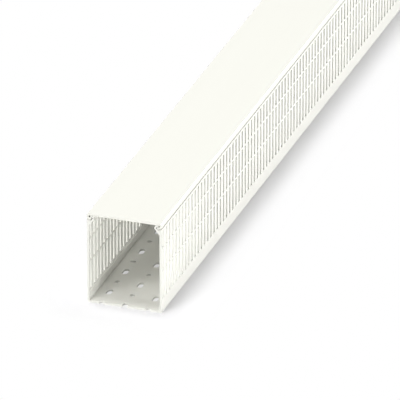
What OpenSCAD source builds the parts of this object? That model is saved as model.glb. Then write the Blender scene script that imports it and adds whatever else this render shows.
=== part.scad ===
// Slotted wire duct with a clip-on cover.
// An extruded channel with punched walls and a perforated base, closed by an
// extruded cover whose legs hook into the wall tops.
// X is the width, Y the length, Z up. The origin is the middle of the underside.

/* [Overall] */
// Length of the duct and of its cover
duct_len = 2000; // [400:50:2000]
// Outside width
duct_w = 80; // [60:1:120]
// Outside height with the cover on
duct_h = 100; // [80:1:120]

/* [Walls] */
// Thickness of the side walls
wall_t = 2.2; // [1.6:0.1:2.8]
// Thickness of the base
base_t = 2.2; // [1.6:0.1:3]
// Bevel of the long outside edges of the base
edge_bevel = 0.5; // [0.2:0.1:0.8]
// Height of the score line above the base, where a finger snaps off
score_z = 10; // [5:0.5:12]
// Depth of the score line
score_depth = 0.7; // [0.4:0.1:1]

/* [Wall slots] */
// Distance from one slot to the next
slot_pitch = 10; // [8:0.5:14]
// Width of a slot
slot_w = 4; // [3:0.1:5]
// Height of the lower end of the slots
slot_z = 15; // [14:0.5:20]
// Distance from the duct's top down to the upper end of the slots
slot_top_drop = 9.2; // [9:0.1:14]
// Height of the centre of the lower break-out bridge
bridge_low_z = 46; // [30:0.5:50]
// Distance from the duct's top down to the centre of the upper break-out bridge
bridge_high_drop = 28.8; // [20:0.1:30]
// Height of a bridge across a slot
bridge_h = 2; // [1:0.1:3]

/* [Wall tops] */
// Distance from the outer face to the innermost point of the hook
hook_reach = 8; // [7:0.1:9]
// Distance from the duct's top down to that point
hook_nose_drop = 5.6; // [5:0.1:6.5]
// Distance from the duct's top down to the bend where the wall leans inwards
hook_bend_drop = 13; // [11:0.5:15]
// Distance from the outer face to the tip of the hook
tip_reach = 3.4; // [3:0.1:3.8]
// Thickness of the hook's tip
tip_t = 0.8; // [0.5:0.1:1]
// Width of the slope from the hook's flat top to its innermost point
hook_slope = 1.6; // [1:0.1:2.2]
// Thickness of the hook at its innermost point
hook_t = 1.7; // [1.4:0.1:2]
// Height of the pocket's back above the hook's innermost point
pocket_rise = 0.7; // [0.4:0.1:1]
// Distance from the outer face to the foot of the pocket
pocket_foot = 4; // [3.6:0.1:4.2]
// Depth of the pocket's foot below the cover's lower edge
pocket_drop = 2.5; // [2.4:0.1:3.4]

/* [Cover] */
// Thickness of the cover's plate
cover_t = 2; // [1.6:0.1:2.4]
// Height of the cover's outer side
lip_h = 5; // [4:0.1:5.4]
// Thickness of the cover's leg above its barb
leg_t = 1.8; // [1.5:0.1:2.2]
// Distance from the outer face to the barb's crest, which catches under the hook
crest_reach = 4.1; // [3.8:0.1:4.4]
// Height of the barb's crest above the corner where the barb leaves the leg
crest_rise = 0.4; // [0:0.1:0.6]
// Distance from the outer face to the barb's nose
barb_reach = 4.8; // [4.5:0.1:5.2]
// Depth of the barb's nose below the pocket's back
nose_drop = 0.4; // [0.2:0.1:0.8]
// Radius of the long top edges
cover_r = 1; // [0.5:0.1:1.5]
// Running clearance between the cover and the wall tops
fit_gap = 0.3; // [0.2:0.05:0.4]
// Height of the seam that shows between the cover's lower edge and the wall
seam_h = 1.4; // [0.6:0.1:1.8]

/* [Base holes] */
// Distance from one hole to the next along the duct
hole_pitch = 25; // [20:1:30]
// Distance between the rows of holes
row_pitch = 25; // [18:1:26]
// Diameter of the round holes
round_d = 5; // [3.5:0.1:6.5]
// Width of the long holes
long_w = 6; // [4:0.1:7]
// Length of the long holes
long_l = 12; // [9:0.5:16]

/* [Hidden] */
$fn = 32;
cut_over = 1;

half_w = duct_w / 2;
half_len = duct_len / 2;
slot_top = duct_h - slot_top_drop;
bridge_high_z = duct_h - bridge_high_drop;
cover_under = duct_h - cover_t;
lip_z = duct_h - lip_h;
slot_count = floor(duct_len / slot_pitch);
hole_steps = floor(half_len / hole_pitch);

// Corners of the wall's top, as [distance in from the outer face, height]
hook_high = cover_under - fit_gap;
ledge = [0, lip_z - seam_h];
pocket_floor = [pocket_foot, lip_z - pocket_drop];
hook_nose = [hook_reach, duct_h - hook_nose_drop];
pocket_back = hook_nose + [-hook_t, pocket_rise];
tip_low = [tip_reach, hook_high - tip_t];
tip_high = [tip_reach, hook_high];
hook_top = [hook_reach - hook_slope, hook_high];
wall_bend = [wall_t, duct_h - hook_bend_drop];

// Corners of the cover's leg and barb, in the same terms
barb_crest = [crest_reach, lookup(crest_reach, [tip_low, pocket_back]) - fit_gap];
leg_foot = [leg_t, barb_crest[1] - crest_rise];
barb_nose = [barb_reach, pocket_back[1] - nose_drop];
barb_foot = pocket_floor + fit_gap * [-1, 2];

// Points of an arc from angle a0 to a1 about a centre
function arc(c, r, a0, a1, steps = 4) =
    [for (i = [0:steps]) let (a = a0 + (a1 - a0) * i / steps) c + r * [cos(a), sin(a)]];

// The same outline on the other side, in the order that closes it
function mirrored(pts) = [for (i = [len(pts) - 1:-1:0]) [-pts[i][0], pts[i][1]]];

// Turns a point given as distance in from the outer face into X and Z
function inboard(p) = [half_w - p[0], p[1]];

// Right half of the channel's section, from the middle of the underside
// round the hook to the middle of the base's upper face
duct_half = concat(
    [[half_w - edge_bevel, 0], [half_w, edge_bevel]],
    [for (p = [ledge, pocket_floor, pocket_back, tip_low, tip_high, hook_top, hook_nose, wall_bend])
        inboard(p)],
    [for (p = [[0, score_depth], [score_depth, 0], [0, -score_depth]])
        inboard([wall_t - p[0], base_t + score_z + p[1]])],
    [inboard([wall_t, base_t])]
);

// Right half of the cover's section, from the plate's underside
// down the barb and up the outside
cover_half = concat(
    [for (p = [[leg_t, cover_under], leg_foot, barb_crest, barb_nose, barb_foot, [0, lip_z]])
        inboard(p)],
    arc([half_w - cover_r, duct_h - cover_r], cover_r, 0, 90)
);

// A section drawn in X and Z, run along the whole length
module run_of(points) {
    translate([0, half_len, 0])
        rotate([90, 0, 0])
            linear_extrude(height = duct_len) polygon(points);
}

// One column of slots through both walls, with its break-out bridges
module wall_slot() {
    heights = [
        [slot_z, bridge_low_z - bridge_h / 2],
        [bridge_low_z + bridge_h / 2, bridge_high_z - bridge_h / 2],
        [bridge_high_z + bridge_h / 2, slot_top]
    ];
    for (h = heights)
        translate([-half_w - cut_over, -slot_w / 2, h[0]])
            cube([duct_w + 2 * cut_over, slot_w, h[1] - h[0]]);
}

module wall_slots() {
    for (i = [0:slot_count - 1])
        translate([0, (i - (slot_count - 1) / 2) * slot_pitch, 0]) wall_slot();
}

module round_hole() {
    translate([0, 0, -cut_over]) cylinder(h = base_t + 2 * cut_over, d = round_d);
}

// A hole with round ends, long along the duct
module long_hole() {
    straight = long_l - long_w;
    translate([0, 0, -cut_over])
        linear_extrude(height = base_t + 2 * cut_over) {
            for (side = [-1, 1]) translate([0, side * straight / 2]) circle(d = long_w);
            square([long_w, straight], center = true);
        }
}

// Three rows of round and long holes by turns, the middle row a step out of phase
module base_holes() {
    for (row = [-1:1], step = [-hole_steps:hole_steps])
        translate([row * row_pitch, step * hole_pitch, 0])
            if ((step + abs(row) + hole_steps) % 2 == 1) round_hole();
            else long_hole();
}

module duct() {
    color("ivory")
        difference() {
            run_of(concat(duct_half, mirrored(duct_half)));
            wall_slots();
            base_holes();
        }
}

module cover() {
    color("floralwhite") run_of(concat(cover_half, mirrored(cover_half)));
}

duct();
cover();
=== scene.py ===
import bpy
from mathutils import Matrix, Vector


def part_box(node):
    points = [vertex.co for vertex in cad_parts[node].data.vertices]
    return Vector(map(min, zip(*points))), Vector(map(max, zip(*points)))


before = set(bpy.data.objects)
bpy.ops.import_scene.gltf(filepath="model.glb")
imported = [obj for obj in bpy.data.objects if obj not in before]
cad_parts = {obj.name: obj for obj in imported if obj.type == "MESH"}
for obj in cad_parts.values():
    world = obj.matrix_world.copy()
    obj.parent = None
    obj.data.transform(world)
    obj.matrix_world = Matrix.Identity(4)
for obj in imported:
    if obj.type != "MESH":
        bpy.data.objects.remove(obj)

"""Finish, studio and camera for a slotted wire duct with its clip-on cover.

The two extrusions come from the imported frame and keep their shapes. This file gives them their PVC
finishes, sets them on a pale floor under soft light, and places the camera.
"""

import logging
import math
from dataclasses import dataclass, field
from enum import Enum

import bpy
from mathutils import Vector

LOG = logging.getLogger("wire_duct")

Colour = tuple[float, float, float]
SocketOrNumber = bpy.types.NodeSocket | float


class Extrusion(Enum):
    """The extruded pieces, by the names of their nodes in the frame."""

    DUCT = "duct"
    COVER = "cover"


# ---------------------------------------------------------------- node helpers


def add_node(tree: bpy.types.NodeTree, kind: str, x: float, y: float) -> bpy.types.Node:
    """Adds one node to a tree.

    Args:
        tree: The material's, world's or group's node tree.
        kind: The node's type name.
        x: Place in the editor, across.
        y: Place in the editor, up.

    Returns:
        The new node.
    """
    node = tree.nodes.new(kind)
    node.location = (x, y)
    return node


def feed(tree: bpy.types.NodeTree, slot: bpy.types.NodeSocket, value: SocketOrNumber) -> None:
    """Gives an input its value.

    Args:
        tree: The tree that holds the input's node.
        slot: The input.
        value: A socket to link or a number to set.
    """
    if isinstance(value, bpy.types.NodeSocket):
        tree.links.new(value, slot)
    else:
        slot.default_value = value


def add_math(tree: bpy.types.NodeTree, operation: str, first: SocketOrNumber,
             second: SocketOrNumber, x: float, y: float) -> bpy.types.NodeSocket:
    """Adds a Math node whose inputs are sockets or plain numbers.

    Args:
        tree: The tree that holds the sum.
        operation: The Math node's operation, such as MULTIPLY.
        first: A socket to link or a number to set.
        second: A socket to link or a number to set, which ABSOLUTE and SQRT don't read.
        x: Place in the editor, across.
        y: Place in the editor, up.

    Returns:
        The output socket.
    """
    node = add_node(tree, "ShaderNodeMath", x, y)
    node.operation = operation
    for slot, value in zip(node.inputs, (first, second)):
        feed(tree, slot, value)
    return node.outputs[0]


def add_colour_mix(tree: bpy.types.NodeTree, factor: bpy.types.NodeSocket, first: Colour,
                   second: Colour, x: float, y: float) -> bpy.types.NodeSocket:
    """Adds a mix of two plain colours.

    Args:
        tree: The tree that holds the mix.
        factor: The share of the second colour.
        first: The colour at a factor of 0.
        second: The colour at a factor of 1.
        x: Place in the editor, across.
        y: Place in the editor, up.

    Returns:
        The mixed colour.
    """
    mix = add_node(tree, "ShaderNodeMix", x, y)
    mix.data_type = "RGBA"
    mix.inputs["A"].default_value = (*first, 1.0)
    mix.inputs["B"].default_value = (*second, 1.0)
    tree.links.new(factor, mix.inputs["Factor"])
    return mix.outputs["Result"]


def seen_directly(tree: bpy.types.NodeTree) -> bpy.types.NodeSocket:
    """A mask of the rays that show a surface to the camera, straight, in a gloss or through glass.

    Args:
        tree: The tree that uses the mask.

    Returns:
        The mask, 1 for camera, glossy and transmission rays.
    """
    path = add_node(tree, "ShaderNodeLightPath", -1100, 0)
    shown = add_math(tree, "MAXIMUM", path.outputs["Is Camera Ray"], path.outputs["Is Glossy Ray"],
                     -900, 0)
    return add_math(tree, "MAXIMUM", shown, path.outputs["Is Transmission Ray"], -700, 0)


# ---------------------------------------------------------------- shared effects


@dataclass(frozen=True)
class DieLines:
    """Shader group for the marks of extrusion: fine lines along the length over a faint grain.

    Attributes:
        name: The group's name.
        stretch: The width of a line as a share of its length.
        lines: Fine lines per metre of width, where a finish sets no other.
        bands: Broad bands of tone per metre of width.
        grain: Specks of grain per metre, where a finish sets no other.
        line_share: The lines' share of the height, where the rest is grain.
    """

    name: str = "die_lines"
    stretch: float = 0.004
    lines: float = 900.0
    bands: float = 60.0
    grain: float = 5000.0
    line_share: float = 0.6

    def build(self) -> bpy.types.NodeTree:
        """Makes the group once.

        Returns:
            The group, whose tone, gloss and height vary over the surface.
        """
        existing = bpy.data.node_groups.get(self.name)
        if existing is not None:
            return existing
        group = bpy.data.node_groups.new(self.name, "ShaderNodeTree")
        for label, default in (("Lines per Metre", self.lines), ("Grain per Metre", self.grain),
                               ("Line Share", self.line_share)):
            socket = group.interface.new_socket(label, in_out="INPUT",
                                                socket_type="NodeSocketFloat")
            socket.default_value = default
        for label in ("Tone", "Gloss", "Height"):
            group.interface.new_socket(label, in_out="OUTPUT", socket_type="NodeSocketFloat")
        source = add_node(group, "NodeGroupInput", -900, 0)
        sink = add_node(group, "NodeGroupOutput", 700, 0)
        place = add_node(group, "ShaderNodeTexCoord", -900, 300)
        along = add_node(group, "ShaderNodeMapping", -700, 300)
        along.inputs["Scale"].default_value = (1.0, self.stretch, 1.0)
        group.links.new(place.outputs["Object"], along.inputs["Vector"])

        drawn_out, even = along.outputs["Vector"], place.outputs["Object"]
        lines = self._noise(group, drawn_out, source.outputs["Lines per Metre"], 3.0, 300)
        bands = self._noise(group, drawn_out, self.bands, 1.0, 60)
        grain = self._noise(group, even, source.outputs["Grain per Metre"], 2.0, -180)

        share = source.outputs["Line Share"]
        rest = add_math(group, "SUBTRACT", 1.0, share, -100, -360)
        lined = add_math(group, "MULTIPLY", lines, share, -100, 300)
        grained = add_math(group, "MULTIPLY", grain, rest, -100, -180)
        height = add_math(group, "ADD", lined, grained, 150, 100)
        group.links.new(height, sink.inputs["Height"])
        group.links.new(bands, sink.inputs["Tone"])
        group.links.new(lines, sink.inputs["Gloss"])
        return group

    @staticmethod
    def _noise(group: bpy.types.NodeTree, vector: bpy.types.NodeSocket, scale: SocketOrNumber,
               detail: float, y: float) -> bpy.types.NodeSocket:
        """Adds one noise of the group.

        Args:
            group: The group's tree.
            vector: The coordinates that the noise reads.
            scale: A socket to link or a number of features per metre.
            detail: The noise's octaves.
            y: Place in the editor, up.

        Returns:
            The noise's value.
        """
        noise = add_node(group, "ShaderNodeTexNoise", -450, y)
        noise.inputs["Detail"].default_value = detail
        group.links.new(vector, noise.inputs["Vector"])
        feed(group, noise.inputs["Scale"], scale)
        return noise.outputs["Fac"]


# ---------------------------------------------------------------- finishes


@dataclass(frozen=True)
class ExtrudedPvc:
    """A smooth and fairly glossy rigid PVC, as it leaves the die.

    Attributes:
        name: The material's name.
        pale: The colour of its lighter bands.
        deep: The colour of its darker bands.
        roughness: The middle of its roughness.
        refraction: Its index of refraction.
        sheen: The strength of its reflections, where 0.5 is what the refraction alone gives.
        gloss_swing: How far the roughness strays from line to line.
        lines: Fine lines per metre of width.
        relief: The height of the lines and grain, in metres.
        relief_share: The share of the relief's full effect on the light.
    """

    name: str
    pale: Colour
    deep: Colour
    roughness: float = 0.1
    refraction: float = 1.52
    sheen: float = 0.35
    gloss_swing: float = 0.04
    lines: float = DieLines.lines
    relief: float = 0.00002
    relief_share: float = 0.5

    def build(self) -> bpy.types.Material:
        """Makes the material.

        Returns:
            The finished material.
        """
        material = bpy.data.materials.new(self.name)
        material.use_nodes = True
        tree = material.node_tree
        tree.nodes.clear()
        marks = add_node(tree, "ShaderNodeGroup", -700, 0)
        marks.node_tree = DieLines().build()
        marks.inputs["Lines per Metre"].default_value = self.lines

        tone = add_colour_mix(tree, marks.outputs["Tone"], self.deep, self.pale, -350, 250)
        swing = add_math(tree, "MULTIPLY_ADD", marks.outputs["Gloss"], self.gloss_swing, -350, 0)
        swing.node.inputs[2].default_value = self.roughness - self.gloss_swing / 2

        bump = add_node(tree, "ShaderNodeBump", -350, -250)
        bump.inputs["Strength"].default_value = self.relief_share
        bump.inputs["Distance"].default_value = self.relief
        tree.links.new(marks.outputs["Height"], bump.inputs["Height"])

        shader = add_node(tree, "ShaderNodeBsdfPrincipled", 0, 0)
        shader.inputs["IOR"].default_value = self.refraction
        shader.inputs["Specular IOR Level"].default_value = self.sheen
        tree.links.new(tone, shader.inputs["Base Color"])
        tree.links.new(swing, shader.inputs["Roughness"])
        tree.links.new(bump.outputs["Normal"], shader.inputs["Normal"])
        output = add_node(tree, "ShaderNodeOutputMaterial", 350, 0)
        tree.links.new(shader.outputs["BSDF"], output.inputs["Surface"])
        return material


# ---------------------------------------------------------------- the duct


@dataclass
class WireDuct:
    """The channel and its cover, as they come from the frame.

    Attributes:
        finishes: The finish of each extrusion.
    """

    finishes: dict[Extrusion, ExtrudedPvc] = field(default_factory=lambda: {
        Extrusion.DUCT: ExtrudedPvc("duct_pvc", pale=(0.875, 0.873, 0.84),
                                    deep=(0.86, 0.858, 0.825)),
        Extrusion.COVER: ExtrudedPvc("cover_pvc", pale=(0.895, 0.894, 0.849),
                                     deep=(0.88, 0.879, 0.834), lines=700.0),
    })

    def dress(self) -> None:
        """Puts each finish in every slot of its extrusion."""
        for extrusion, finish in self.finishes.items():
            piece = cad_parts[extrusion.value]
            material = finish.build()
            if not piece.material_slots:
                piece.data.materials.append(material)
            for slot in piece.material_slots:
                slot.material = material
            low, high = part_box(extrusion.value)
            LOG.info("%s finished with %s, %.3f m long", piece.name, material.name, high.y - low.y)


# ---------------------------------------------------------------- studio


def direction_to(azimuth: float, elevation: float) -> Vector:
    """The direction from the duct to something that stands round it.

    Args:
        azimuth: Degrees round from the duct's near end, towards its right side.
        elevation: Degrees above the floor.

    Returns:
        A unit vector.
    """
    turn, rise = math.radians(azimuth), math.radians(elevation)
    return Vector((math.sin(turn) * math.cos(rise), -math.cos(turn) * math.cos(rise),
                   math.sin(rise)))


@dataclass(frozen=True)
class Lamp:
    """A soft lamp that points at the duct's near end.

    Attributes:
        name: The lamp's name.
        azimuth: Degrees round from the duct's near end, towards its right side.
        elevation: Degrees above the floor.
        width: The lamp's width in metres.
        height: The lamp's height in metres.
        level: What it adds to a white surface that faces it.
        distance: Metres from the near end.
        tint: The colour of its light.
    """

    name: str
    azimuth: float
    elevation: float
    width: float
    height: float
    level: float
    distance: float = 15.0
    tint: Colour = (1.0, 1.0, 0.97)

    def build(self, target: Vector) -> bpy.types.Object:
        """Adds the lamp.

        Args:
            target: The point that it faces.

        Returns:
            The lamp's object.
        """
        data = bpy.data.lights.new(self.name, "AREA")
        data.shape = "RECTANGLE"
        data.size = self.width
        data.size_y = self.height
        # From this far, a lamp of this many watts adds its level to a white surface.
        data.energy = self.level * (math.pi * self.distance) ** 2
        data.color = self.tint
        lamp = bpy.data.objects.new(self.name, data)
        back = direction_to(self.azimuth, self.elevation)
        lamp.location = target + back * self.distance
        lamp.rotation_euler = back.to_track_quat("Z", "Y").to_euler()
        bpy.context.scene.collection.objects.link(lamp)
        LOG.info("%s at %s", self.name, tuple(round(v, 2) for v in lamp.location))
        return lamp


@dataclass
class Studio:
    """The floor, the pale surroundings and the lamps.

    Attributes:
        footprint: The lower and upper corner of the duct, which the floor fades away from.
        floor_side: The floor's width in metres.
        floor_seen: The floor's colour beside the duct, where it is seen directly.
        floor_bounce: The floor's colour in the light that it throws back on the duct.
        fade_start: The distance from the duct, in metres, at which the floor starts to fade; nearer
            than fade_end the floor is darker than the backdrop, a ring of painted shade round the
            duct besides its real shadow.
        fade_end: The distance at which it has become the white of the backdrop, where the painted
            shade ends.
        painted_hole_glow: The share of that white in the floor that shows through the base's holes,
            a painted glow under the duct.
        sky: The strength of the light from all round.
        lamps: The soft lamps.
    """

    footprint: tuple[Vector, Vector]
    floor_side: float = 60.0
    floor_seen: Colour = (0.875, 0.873, 0.91)
    floor_bounce: Colour = (0.6, 0.6, 0.6)
    fade_start: float = 0.005
    fade_end: float = 0.05
    painted_hole_glow: float = 0.5
    sky: float = 0.05
    lamps: tuple[Lamp, ...] = (
        Lamp("overhead_lamp", azimuth=-90.0, elevation=83.0, width=4.3, height=4.3, level=0.62),
        Lamp("high_front_lamp", azimuth=-30.0, elevation=50.0, width=6.0, height=6.0, level=0.40),
        Lamp("low_front_lamp", azimuth=-35.0, elevation=4.5, width=6.7, height=1.7, level=0.40),
        Lamp("right_lamp", azimuth=70.0, elevation=4.5, width=6.7, height=1.7, level=0.43),
        Lamp("back_right_lamp", azimuth=150.0, elevation=4.5, width=6.0, height=1.7, level=0.94),
        Lamp("back_left_lamp", azimuth=-150.0, elevation=4.5, width=6.0, height=1.7, level=0.25),
    )

    def build(self, target: Vector) -> None:
        """Builds the whole studio.

        Args:
            target: The point that the lamps face.
        """
        self._floor()
        self._world()
        for lamp in self.lamps:
            lamp.build(target)

    def _floor(self) -> bpy.types.Object:
        """Lays the floor under the duct.

        Returns:
            The floor's object.
        """
        bpy.ops.object.select_all(action="DESELECT")
        bpy.ops.mesh.primitive_plane_add(size=self.floor_side)
        floor = bpy.context.active_object
        floor.name = "studio_floor"
        floor.data.materials.append(self._floor_material())
        LOG.info("%s laid, %.0f m across", floor.name, self.floor_side)
        return floor

    def _floor_material(self) -> bpy.types.Material:
        """Makes the floor's finish, which keeps the duct's shadow, paints a ring of shade round the
        duct where it fades into the backdrop, and paints a glow under the duct.

        Returns:
            The material.
        """
        material = bpy.data.materials.new("studio_floor")
        material.use_nodes = True
        tree = material.node_tree
        tree.nodes.clear()
        seen = seen_directly(tree)
        colour = add_colour_mix(tree, seen, self.floor_bounce, self.floor_seen, -350, 0)
        matt = add_node(tree, "ShaderNodeBsdfDiffuse", -100, 0)
        tree.links.new(colour, matt.inputs["Color"])
        white = add_node(tree, "ShaderNodeEmission", -100, -200)
        mix = add_node(tree, "ShaderNodeMixShader", 150, 0)
        # Painted light and shade: white emission mixed in by this mask glows under the duct, and
        # close to the duct its absence leaves a ring of painted shade.
        tree.links.new(add_math(tree, "MULTIPLY", seen, self._painted_shade_and_glow(tree), -100, 200),
                       mix.inputs[0])
        tree.links.new(matt.outputs[0], mix.inputs[1])
        tree.links.new(white.outputs[0], mix.inputs[2])
        output = add_node(tree, "ShaderNodeOutputMaterial", 350, 0)
        tree.links.new(mix.outputs[0], output.inputs["Surface"])
        return material

    def _painted_shade_and_glow(self, tree: bpy.types.NodeTree) -> bpy.types.NodeSocket:
        """Makes the mask by which the floor turns into the backdrop, which paints a ring of shade
        round the duct and a glow under it.

        Args:
            tree: The floor's tree.

        Returns:
            The mask: painted_hole_glow under the duct, a painted glow; 0 beside it, where the darker
                floor is a ring of painted shade; and 1 from fade_end outwards.
        """
        low, high = self.footprint
        place = add_node(tree, "ShaderNodeNewGeometry", -1700, 500)
        axes = add_node(tree, "ShaderNodeSeparateXYZ", -1500, 500)
        tree.links.new(place.outputs["Position"], axes.inputs[0])
        sides, beyond = [], []
        for row, (axis, least, most) in enumerate((("X", low.x, high.x), ("Y", low.y, high.y))):
            y = 600 - 250 * row
            offset = add_math(tree, "SUBTRACT", axes.outputs[axis], (least + most) / 2, -1300, y)
            reach = add_math(tree, "ABSOLUTE", offset, 0.0, -1150, y)
            side = add_math(tree, "SUBTRACT", reach, (most - least) / 2, -1000, y)
            outside = add_math(tree, "MAXIMUM", side, 0.0, -850, y)
            sides.append(side)
            beyond.append(add_math(tree, "POWER", outside, 2.0, -700, y))
        away = add_math(tree, "SQRT", add_math(tree, "ADD", *beyond, -550, 480), 0.0, -400, 480)
        # Painted shade: the floor keeps its darker seen colour near the duct and turns white further
        # out.
        ramp = add_node(tree, "ShaderNodeMapRange", -250, 480)
        ramp.interpolation_type = "SMOOTHSTEP"
        ramp.inputs["From Min"].default_value = self.fade_start
        ramp.inputs["From Max"].default_value = self.fade_end
        tree.links.new(away, ramp.inputs["Value"])
        # Painted light: under the duct the floor glows with this share of white, so the base's holes
        # look brighter.
        under = add_math(tree, "LESS_THAN", add_math(tree, "MAXIMUM", *sides, -550, 800), 0.0,
                         -400, 800)
        glow = add_math(tree, "MULTIPLY", under, self.painted_hole_glow, -250, 800)
        return add_math(tree, "MAXIMUM", ramp.outputs["Result"], glow, -50, 600)

    def _world(self) -> None:
        """Makes the surroundings: soft light all round, plain white where seen directly."""
        world = bpy.data.worlds.new("studio_world")
        bpy.context.scene.world = world
        world.use_nodes = True
        tree = world.node_tree
        tree.nodes.clear()
        light = add_node(tree, "ShaderNodeBackground", -200, 100)
        light.inputs["Strength"].default_value = self.sky
        backdrop = add_node(tree, "ShaderNodeBackground", -200, -100)
        for background in (light, backdrop):
            background.inputs["Color"].default_value = (1.0, 1.0, 1.0, 1.0)
        mix = add_node(tree, "ShaderNodeMixShader", 50, 0)
        tree.links.new(seen_directly(tree), mix.inputs["Fac"])
        tree.links.new(light.outputs[0], mix.inputs[1])
        tree.links.new(backdrop.outputs[0], mix.inputs[2])
        output = add_node(tree, "ShaderNodeOutputWorld", 250, 0)
        tree.links.new(mix.outputs[0], output.inputs["Surface"])


@dataclass
class Viewpoint:
    """The camera: a long lens that looks down along the duct from beyond its near end.

    Attributes:
        azimuth: Degrees round from the near end, towards the right side.
        elevation: Degrees above the floor.
        distance: Metres from the aim point.
        lens: Focal length in millimetres.
        aim_side: The aim point's distance right of the duct's middle, in metres.
        aim_height: The aim point's height, in metres.
        sight: How far the camera sees, in metres.
    """

    azimuth: float = 18.93
    elevation: float = 25.5
    distance: float = 9.677
    lens: float = 863.6
    aim_side: float = 0.0812
    aim_height: float = 0.1337
    sight: float = 200.0

    def build(self) -> bpy.types.Object:
        """Places the camera.

        Returns:
            The camera's object.
        """
        near_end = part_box(Extrusion.DUCT.value)[0].y
        data = bpy.data.cameras.new("camera")
        data.lens = self.lens
        data.clip_end = self.sight
        camera = bpy.data.objects.new("camera", data)
        back = direction_to(self.azimuth, self.elevation)
        camera.location = Vector((self.aim_side, near_end, self.aim_height)) + back * self.distance
        camera.rotation_euler = back.to_track_quat("Z", "Y").to_euler()
        bpy.context.scene.collection.objects.link(camera)
        bpy.context.scene.camera = camera
        LOG.info("camera at %s", tuple(round(v, 3) for v in camera.location))
        return camera


def main() -> None:
    """Builds the scene in order and logs the length of each extrusion as it is dressed."""
    logging.basicConfig(level=logging.INFO, format="%(name)s: %(message)s")
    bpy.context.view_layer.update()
    bpy.context.scene.view_settings.view_transform = "Standard"
    Viewpoint().build()
    WireDuct().dress()
    low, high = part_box(Extrusion.DUCT.value)
    Studio(footprint=(low, high)).build(Vector((0.0, low.y, high.z / 2)))


if __name__ == "__main__":
    main()
